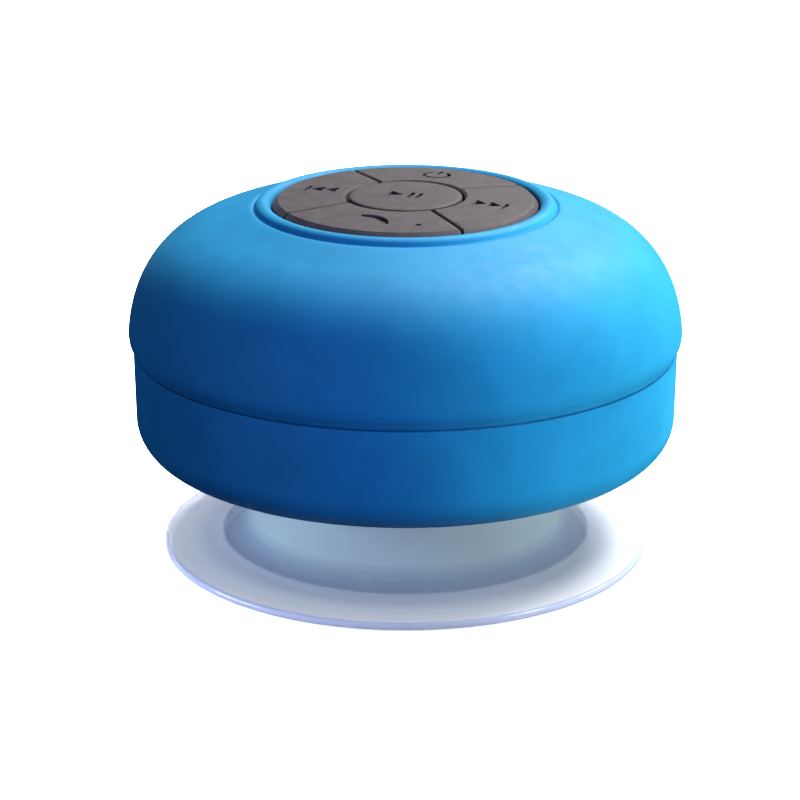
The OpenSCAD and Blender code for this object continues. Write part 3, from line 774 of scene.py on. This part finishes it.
def direction(azimuth, elevation):
    """Unit vector away from the object; azimuth 0 is the front (-Y), and a quarter turn is +X."""
    return Vector((math.sin(azimuth) * math.cos(elevation),
                   -math.cos(azimuth) * math.cos(elevation), math.sin(elevation)))


def make_camera():
    camera = bpy.data.objects.new("camera", bpy.data.cameras.new("camera"))
    bpy.context.scene.collection.objects.link(camera)
    camera.data.lens = CAMERA_LENS
    camera.data.sensor_width = CAMERA_SENSOR
    camera.data.shift_x = CAMERA_SHIFT_X
    away = direction(CAMERA_AZIMUTH, CAMERA_ELEVATION)
    camera.location = away * CAMERA_DISTANCE
    turn = (-away).to_track_quat("-Z", "Y").to_matrix().to_4x4()
    camera.matrix_world = Matrix.Translation(camera.location) @ turn @ Matrix.Rotation(CAMERA_PITCH, 4, "X")
    bpy.context.scene.camera = camera


make_camera()


def make_floor():
    bm = bmesh.new()
    bmesh.ops.create_grid(bm, x_segments=2, y_segments=2, size=6)
    floor = new_object("floor", bm)
    floor.location.z = cad_box[0][2] - 0.0002
    s = Surface("floor", 0.8, specular=0.0)
    s.set(Base_Color=(0.9, 0.9, 0.92, 1))
    # The floor glows: a dim cool glow under the object is painted shade where the body shadows the floor, and
    # a white one far away, where the lights don't reach
    out = s.node("ShaderNodeVectorMath", operation="LENGTH")
    s.link(s.place, out.inputs[0])
    far = s.span(out.outputs["Value"], 0, 1, 0.1, 2.0)
    glow = s.ramp(far, [(0.0, (0.3, 0.43, 0.66)), (0.15, (0.4, 0.54, 0.74)), (1.0, (1, 1, 1))])
    s.link(glow, s.shader.inputs["Emission Color"])
    s.set(Emission_Strength=1.0)
    floor.data.materials.append(s.material)
    floor.visible_diffuse = False
    floor.visible_glossy = False
    return floor


floor = make_floor()


AIM = Vector((0, 0, 0.03))   # the lights face the object's middle


def area_light(name, azimuth, elevation, distance, size, power, colour=(1, 1, 1)):
    """Soft box that faces the object. Angles in degrees, the rest in metres and watts."""
    light = bpy.data.objects.new(name, bpy.data.lights.new(name, "AREA"))
    light.data.shape = "RECTANGLE"
    light.data.size, light.data.size_y = size
    light.data.energy = power
    light.data.color = colour
    away = direction(math.radians(azimuth), math.radians(elevation))
    light.location = away * distance + AIM
    light.rotation_euler = away.to_track_quat("Z", "Y").to_euler()
    bpy.context.scene.collection.objects.link(light)
    return light


def light_only(light, group_name, objects, state="INCLUDE"):
    """The light reaches only these objects, or with EXCLUDE all but these."""
    group = bpy.data.collections.new(group_name)
    for obj in objects:
        group.objects.link(obj)
    light.light_linking.receiver_collection = group
    for item in group.collection_objects:
        item.light_linking.link_state = state


# Each row: azimuth, elevation, distance, size, power, colour
ONE_PIECE_LIGHTS = {
    "floor_light": (floor, (140, 72, 0.9, (1.8, 1.8), 90)),
    "cup_left": (cup, (-62, 12, 0.8, (0.4, 0.2), 10, (0.9, 0.95, 1))),
    "cup_right": (cup, (112, 58, 0.8, (0.2, 0.2), 5)),
    "floor_left": (floor, (-70, 14, 0.8, (0.5, 0.1), 14)),
}
LIGHTS = {
    "back_right": (159, 52, 0.9, (0.4, 0.4), 15.2, (0.95, 1, 0.9)),
    "right": (109, 6, 0.9, (0.4, 0.14), 12, (1, 1, 0.8)),
    "front_right": (54, 20, 1.0, (0.4, 0.4), 4.9, (0.48, 0.56, 1)),
    "front_left": (-25, 12, 1.1, (0.6, 0.3), 2.3, (0.43, 0.48, 1)),
    "back_left": (255, 8, 1.0, (0.5, 0.2), 1.7, (0.62, 0.75, 1)),
}
SEEN_IN_GLOSS = ("back_right", "front_left")
for name, (target, settings) in ONE_PIECE_LIGHTS.items():
    light_only(area_light(name, *settings), name + "_only", [target])
for name, settings in LIGHTS.items():
    lamp = area_light(name, *settings)
    lamp.visible_glossy = name in SEEN_IN_GLOSS
    light_only(lamp, name + "_kept_off", [floor, cup] if name == "front_right" else [floor], "EXCLUDE")

world = bpy.data.worlds.new("world")
bpy.context.scene.world = world
world.use_nodes = True
background = world.node_tree.nodes["Background"]
background.inputs["Color"].default_value = (0.92, 0.94, 1, 1)
background.inputs["Strength"].default_value = 1.0
world.cycles_visibility.diffuse = False
world.cycles_visibility.glossy = False
bpy.context.scene.view_settings.view_transform = "Standard"
